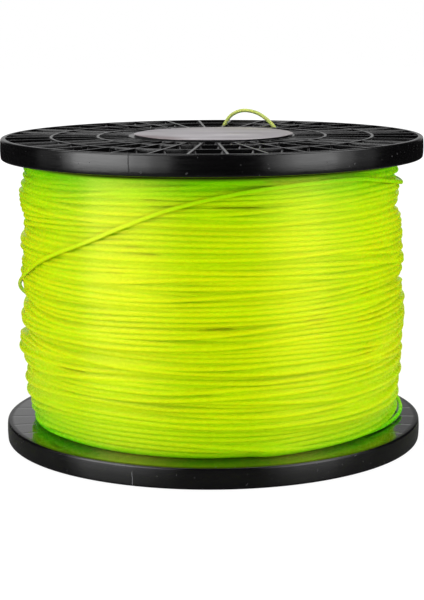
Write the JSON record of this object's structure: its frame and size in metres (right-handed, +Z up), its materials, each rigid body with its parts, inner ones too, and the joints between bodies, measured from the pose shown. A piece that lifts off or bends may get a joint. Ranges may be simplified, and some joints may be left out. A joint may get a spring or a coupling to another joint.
{
  "type": "string reel",
  "caption": "Full reel of thick string: two ribbed plastic flanges bolted to a hollow barrel, the string wound to near the rims, and a short loop of it standing out of the top flange.",
  "frame": {"origin": "on the reel's axis, in the plane of the lower rim that it stands on", "axes": "+Z up along the reel's axis, towards the labelled flange; -Y to the front, the side the picture shows"},
  "size_m": [0.286, 0.286, 0.2195],
  "materials": {
    "spool_plastic": "moulded, semi-gloss, black",
    "string": "extruded nylon, satin, slightly translucent",
    "label_film": "bare, faintly wrinkled film",
    "zinc_steel": "zinc plated"
  },
  "bodies": {
    "root": {"upper_flange": "spool_plastic", "lower_flange": "spool_plastic", "barrel": "spool_plastic", "tie_bolts": "zinc_steel", "tie_bolt_nuts": "zinc_steel", "hub_label": "label_film", "string_inner_layers": "string", "string_outer_layer": "string", "string_anchor_loop": "string"}
  },
  "joints": []
}
